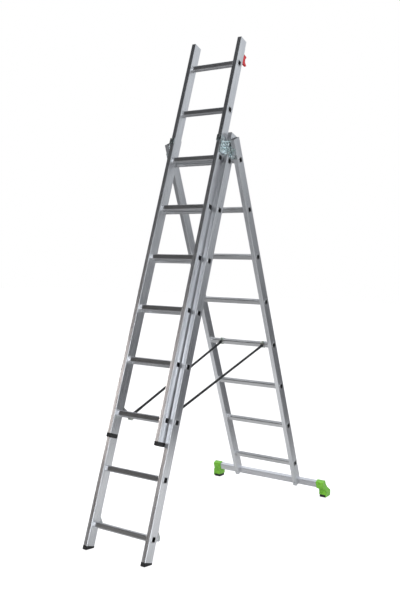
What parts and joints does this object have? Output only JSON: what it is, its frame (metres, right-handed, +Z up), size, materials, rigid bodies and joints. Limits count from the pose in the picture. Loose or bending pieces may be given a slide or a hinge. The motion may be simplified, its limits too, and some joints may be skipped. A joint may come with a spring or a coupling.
{
  "type": "extension ladder",
  "caption": "Three-section aluminium combination ladder standing open as an A, third section raised, webbing spreader straps, stabiliser bar with moulded feet.",
  "frame": {"origin": "on the floor, at the centre of the footprint of the open ladder", "axes": "+Z up, +X to the climber's right across the ladder, -Y towards the climber's side, where the front sections stand"},
  "size_m": [0.83, 1.64, 2.6799],
  "materials": {
    "aluminium": "extruded mill finish, satin, fine lengthwise die lines",
    "zinc_steel": "zinc plated, bright with a slight spangle",
    "black_rubber": "moulded, matt",
    "green_plastic": "moulded, satin, fine grain",
    "red_plastic": "moulded, semi-gloss",
    "webbing": "woven polyester webbing, matt"
  },
  "bodies": {
    "middle_section": {"hinge_pin_left": "zinc_steel", "hinge_pin_right": "zinc_steel", "middle_section_foot_cap_left": "black_rubber", "middle_section_foot_cap_right": "black_rubber", "middle_section_hook_left": "zinc_steel", "middle_section_hook_right": "zinc_steel", "middle_section_rivets": "aluminium", "middle_section_rung_1": "aluminium", "middle_section_rung_2": "aluminium", "middle_section_rung_3": "aluminium", "middle_section_rung_4": "aluminium", "middle_section_rung_5": "aluminium", "middle_section_rung_6": "aluminium", "middle_section_rung_7": "aluminium", "middle_section_rung_8": "aluminium", "middle_section_stile_left": "aluminium", "middle_section_stile_right": "aluminium", "spreader_strap_left": "webbing", "spreader_strap_right": "webbing", "strap_clips_front": "zinc_steel", "top_bracket_left": "zinc_steel", "top_bracket_right": "zinc_steel"},
    "rear_section": {"hinge_plate_left": "zinc_steel", "hinge_plate_right": "zinc_steel", "rear_section_rivets": "aluminium", "rear_section_rung_1": "aluminium", "rear_section_rung_2": "aluminium", "rear_section_rung_3": "aluminium", "rear_section_rung_4": "aluminium", "rear_section_rung_5": "aluminium", "rear_section_rung_6": "aluminium", "rear_section_rung_7": "aluminium", "rear_section_rung_8": "aluminium", "rear_section_stile_left": "aluminium", "rear_section_stile_right": "aluminium", "stabiliser_bar": "aluminium", "stabiliser_bolts": "zinc_steel", "stabiliser_foot_left": "green_plastic", "stabiliser_foot_pad_left": "black_rubber", "stabiliser_foot_pad_right": "black_rubber", "stabiliser_foot_right": "green_plastic", "strap_clips_rear": "zinc_steel"},
    "upper_section": {"latch_bracket": "zinc_steel", "upper_section_foot_cap_left": "black_rubber", "upper_section_foot_cap_right": "black_rubber", "upper_section_hook_left": "zinc_steel", "upper_section_hook_right": "zinc_steel", "upper_section_rivets": "aluminium", "upper_section_rung_1": "aluminium", "upper_section_rung_2": "aluminium", "upper_section_rung_3": "aluminium", "upper_section_rung_4": "aluminium", "upper_section_rung_5": "aluminium", "upper_section_rung_6": "aluminium", "upper_section_rung_7": "aluminium", "upper_section_rung_8": "aluminium", "upper_section_stile_left": "aluminium", "upper_section_stile_right": "aluminium"},
    "latch": {"latch": "red_plastic"}
  },
  "joints": [
    {"name": "rear_fold", "type": "hinge", "parent": "middle_section", "child": "rear_section", "pos_m": [0, -0.13816, 2.00894], "axis": [1, 0, 0], "range_deg": [-40.4, 0], "deforming": ["spreader_strap_left", "spreader_strap_right"]},
    {"name": "upper_slide", "type": "slide", "parent": "middle_section", "child": "upper_section", "axis": [0, 0.304, 0.9527], "range_m": [-0.56, 0.56]},
    {"name": "latch_swing", "type": "hinge", "parent": "upper_section", "child": "latch", "pos_m": [0.152, 0.01467, 2.54275], "axis": [0, 0.304, 0.9527], "range_deg": [0, 90]}
  ]
}
